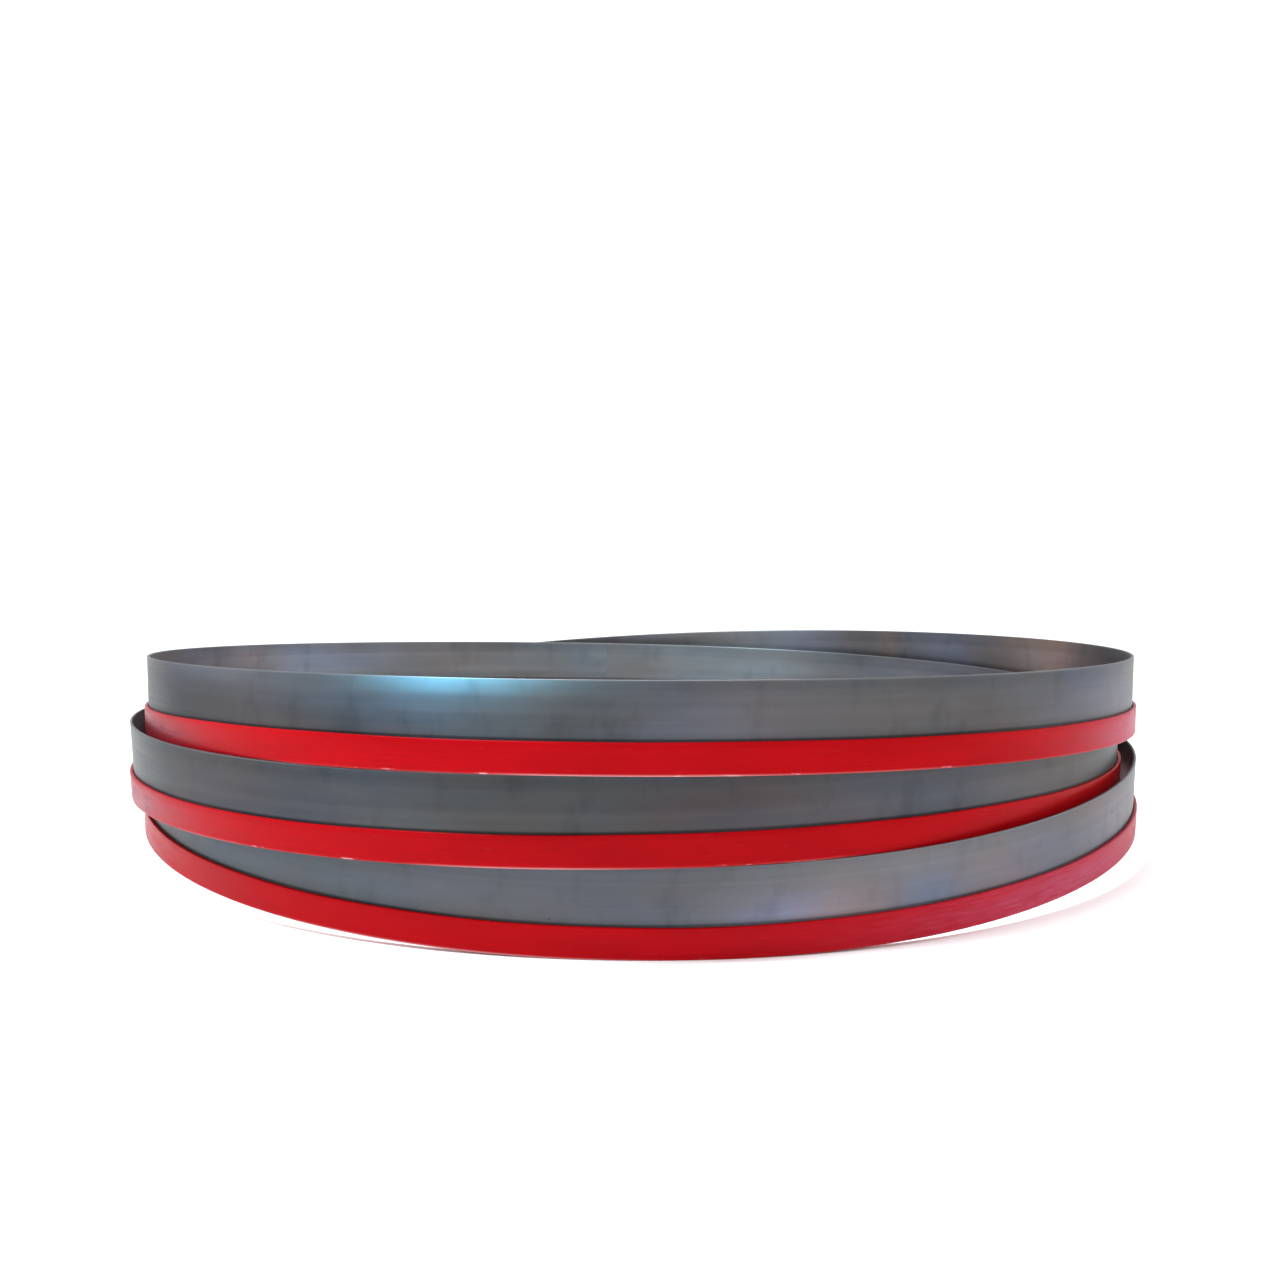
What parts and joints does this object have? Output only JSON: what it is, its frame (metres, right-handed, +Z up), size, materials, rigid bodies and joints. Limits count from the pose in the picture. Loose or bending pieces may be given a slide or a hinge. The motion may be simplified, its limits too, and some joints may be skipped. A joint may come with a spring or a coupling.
{
  "type": "band saw blade",
  "caption": "Welded endless band saw blade folded into loops, teeth down, in a red plastic tooth guard strip.",
  "frame": {"origin": "on the bench under the middle of the coil's bounding box", "axes": "+Z up from the bench, -Y the side where the three loops stand one above the other, +X to the right as seen from -Y"},
  "size_m": [0.4983, 0.4974, 0.1092],
  "materials": {
    "band_steel": "satin dark grey rolled steel",
    "guard_plastic": "semi-gloss red extruded plastic"
  },
  "bodies": {
    "root": {"saw_band": "band_steel", "tooth_guard": "guard_plastic"}
  },
  "joints": []
}
